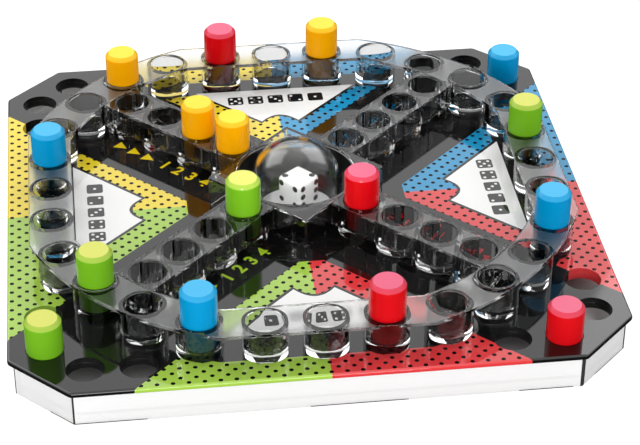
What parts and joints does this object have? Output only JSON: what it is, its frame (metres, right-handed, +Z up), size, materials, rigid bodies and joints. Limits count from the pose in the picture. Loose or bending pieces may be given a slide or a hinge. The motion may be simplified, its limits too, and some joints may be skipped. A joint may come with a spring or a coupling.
{
  "type": "pop up dice board game",
  "caption": "Square board game with a clear raised track of peg holes, four finish lanes, coloured pegs and a press-down clear dome that pops a die in the middle.",
  "frame": {"origin": "middle of the face that the game rests on", "axes": "+Z up, out of the playing surface; +X to the right and +Y to the back, square to the deck's sides"},
  "size_m": [0.26, 0.26, 0.0477],
  "materials": {
    "clear_plastic": "clear, polished",
    "black_plastic": "gloss",
    "popper_plate": "matte",
    "spring_steel": "satin",
    "die_white": "gloss",
    "peg_yellow": "gloss",
    "peg_red": "gloss",
    "peg_green": "gloss",
    "peg_blue": "gloss"
  },
  "bodies": {
    "board": {"base_tray": "clear_plastic", "deck": "black_plastic", "track_ring": "clear_plastic", "finish_lanes": "clear_plastic", "centre_frame": "clear_plastic", "popper_housing": "black_plastic", "popper_collar": "black_plastic", "bow_spring": "spring_steel"},
    "popper": {"popper_dome": "clear_plastic", "popper_floor": "popper_plate"},
    "die": {"die": "die_white"},
    "peg_yellow_1": {"peg_yellow_1": "peg_yellow"},
    "peg_yellow_2": {"peg_yellow_2": "peg_yellow"},
    "peg_yellow_3": {"peg_yellow_3": "peg_yellow"},
    "peg_yellow_4": {"peg_yellow_4": "peg_yellow"},
    "peg_red_1": {"peg_red_1": "peg_red"},
    "peg_red_2": {"peg_red_2": "peg_red"},
    "peg_red_3": {"peg_red_3": "peg_red"},
    "peg_red_4": {"peg_red_4": "peg_red"},
    "peg_green_1": {"peg_green_1": "peg_green"},
    "peg_green_2": {"peg_green_2": "peg_green"},
    "peg_green_3": {"peg_green_3": "peg_green"},
    "peg_green_4": {"peg_green_4": "peg_green"},
    "peg_blue_1": {"peg_blue_1": "peg_blue"},
    "peg_blue_2": {"peg_blue_2": "peg_blue"},
    "peg_blue_3": {"peg_blue_3": "peg_blue"},
    "peg_blue_4": {"peg_blue_4": "peg_blue"}
  },
  "joints": [
    {"name": "dome_press", "type": "slide", "parent": "board", "child": "popper", "axis": [0, 0, -1], "range_m": [0, 0.003], "stiffness_N_per_m": 1500, "springref_m": -0.004, "deforming": ["bow_spring"]},
    {"name": "die_hop", "type": "slide", "parent": "popper", "child": "die", "axis": [0, 0, 1], "range_m": [0, 0.008]},
    {"name": "lift_yellow_1", "type": "slide", "parent": "board", "child": "peg_yellow_1", "axis": [0, 0, 1], "range_m": [0, 0.035]},
    {"name": "lift_yellow_2", "type": "slide", "parent": "board", "child": "peg_yellow_2", "axis": [0, 0, 1], "range_m": [0, 0.035]},
    {"name": "lift_yellow_3", "type": "slide", "parent": "board", "child": "peg_yellow_3", "axis": [0, 0, 1], "range_m": [0, 0.035]},
    {"name": "lift_yellow_4", "type": "slide", "parent": "board", "child": "peg_yellow_4", "axis": [0, 0, 1], "range_m": [0, 0.035]},
    {"name": "lift_red_1", "type": "slide", "parent": "board", "child": "peg_red_1", "axis": [0, 0, 1], "range_m": [0, 0.035]},
    {"name": "lift_red_2", "type": "slide", "parent": "board", "child": "peg_red_2", "axis": [0, 0, 1], "range_m": [0, 0.035]},
    {"name": "lift_red_3", "type": "slide", "parent": "board", "child": "peg_red_3", "axis": [0, 0, 1], "range_m": [0, 0.035]},
    {"name": "lift_red_4", "type": "slide", "parent": "board", "child": "peg_red_4", "axis": [0, 0, 1], "range_m": [0, 0.035]},
    {"name": "lift_green_1", "type": "slide", "parent": "board", "child": "peg_green_1", "axis": [0, 0, 1], "range_m": [0, 0.035]},
    {"name": "lift_green_2", "type": "slide", "parent": "board", "child": "peg_green_2", "axis": [0, 0, 1], "range_m": [0, 0.035]},
    {"name": "lift_green_3", "type": "slide", "parent": "board", "child": "peg_green_3", "axis": [0, 0, 1], "range_m": [0, 0.035]},
    {"name": "lift_green_4", "type": "slide", "parent": "board", "child": "peg_green_4", "axis": [0, 0, 1], "range_m": [0, 0.035]},
    {"name": "lift_blue_1", "type": "slide", "parent": "board", "child": "peg_blue_1", "axis": [0, 0, 1], "range_m": [0, 0.035]},
    {"name": "lift_blue_2", "type": "slide", "parent": "board", "child": "peg_blue_2", "axis": [0, 0, 1], "range_m": [0, 0.035]},
    {"name": "lift_blue_3", "type": "slide", "parent": "board", "child": "peg_blue_3", "axis": [0, 0, 1], "range_m": [0, 0.035]},
    {"name": "lift_blue_4", "type": "slide", "parent": "board", "child": "peg_blue_4", "axis": [0, 0, 1], "range_m": [0, 0.035]}
  ]
}
